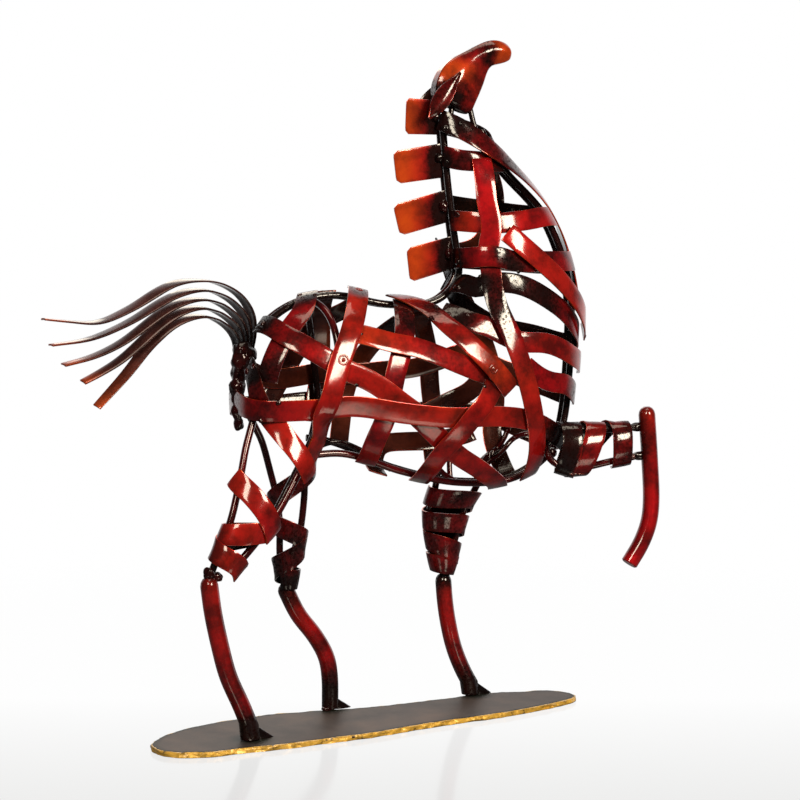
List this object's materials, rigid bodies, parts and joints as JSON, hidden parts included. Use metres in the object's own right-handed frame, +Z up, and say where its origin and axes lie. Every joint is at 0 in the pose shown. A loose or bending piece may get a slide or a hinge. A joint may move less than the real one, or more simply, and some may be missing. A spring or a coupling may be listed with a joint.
{
  "type": "horse sculpture",
  "caption": "Prancing horse woven from flat iron strap over a frame of round rod, with bent-bar lower legs, plate mane tabs and a ribbon tail, on a thin tapered plate.",
  "frame": {"origin": "middle of the bounding box at the underside of the base plate", "axes": "+X towards the horse's chest and raised knee, +Y to the horse's left, +Z up"},
  "size_m": [0.3496, 0.0872, 0.3865],
  "materials": {
    "red_lacquer": "clear red lacquer over dark iron strap, glossy",
    "dark_red_lacquer": "dark maroon lacquer over iron, glossy",
    "brown_lacquer": "thin brown-red lacquer over iron, satin to glossy",
    "black_lacquer": "black lacquer over iron rod, glossy",
    "orange_lacquer": "orange lacquer shaded to red and black towards the weld, glossy",
    "smoked_tail": "smoke-brown lacquer over iron, orange at the tips, glossy",
    "base_plate": "dark grey-brown satin paint, bronze-gold flame-cut edge"
  },
  "bodies": {
    "root": {"base_plate": "base_plate", "hoof_bar_hind_right": "red_lacquer", "hoof_bar_hind_left": "dark_red_lacquer", "hoof_bar_fore_left": "dark_red_lacquer", "hoof_bar_fore_right": "red_lacquer", "back_rod_right": "black_lacquer", "neck_rod_right": "dark_red_lacquer", "back_rod_left": "dark_red_lacquer", "neck_rod_left": "dark_red_lacquer", "belly_rod_right": "dark_red_lacquer", "belly_rod_left": "dark_red_lacquer", "thigh_front_rods_right": "black_lacquer", "thigh_rear_rod_right": "black_lacquer", "thigh_front_rod_left": "black_lacquer", "thigh_rear_rod_left": "dark_red_lacquer", "forearm_front_rod_left": "dark_red_lacquer", "forearm_rear_rod_left": "dark_red_lacquer", "forearm_upper_rod_right": "black_lacquer", "forearm_lower_rod_right": "red_lacquer", "belt_strap": "red_lacquer", "flank_strap_right": "red_lacquer", "loin_strap_right": "red_lacquer", "hip_strap_right": "dark_red_lacquer", "haunch_strap_right": "red_lacquer", "rib_strap_right": "red_lacquer", "back_sash_right": "red_lacquer", "withers_strap_right": "red_lacquer", "girth_strap_right": "red_lacquer", "belly_strap_right": "red_lacquer", "rib_upright_right": "dark_red_lacquer", "breast_strap_right": "dark_red_lacquer", "shoulder_strap_right": "red_lacquer", "collar_strap_right": "dark_red_lacquer", "collar_strap_left": "dark_red_lacquer", "throat_strap": "dark_red_lacquer", "neck_band_upper": "red_lacquer", "neck_band_middle": "dark_red_lacquer", "neck_band_lower": "black_lacquer", "neck_sash_right": "red_lacquer", "rib_upright_left": "brown_lacquer", "side_strap_left": "brown_lacquer", "flank_strap_left": "brown_lacquer", "loin_strap_left": "brown_lacquer", "rib_slant_left": "brown_lacquer", "shoulder_strap_left": "dark_red_lacquer", "girth_strap_left": "brown_lacquer", "belly_strap_left": "brown_lacquer", "neck_sash_left": "dark_red_lacquer", "wraps_hind_right": "red_lacquer", "wraps_hind_left": "dark_red_lacquer", "wraps_fore_left": "dark_red_lacquer", "wraps_fore_right": "dark_red_lacquer", "mane_plate_1": "orange_lacquer", "mane_plate_2": "orange_lacquer", "mane_plate_3": "orange_lacquer", "mane_plate_4": "orange_lacquer", "tail": "smoked_tail", "head": "red_lacquer", "ear_right": "dark_red_lacquer", "ear_left": "dark_red_lacquer"}
  },
  "joints": []
}
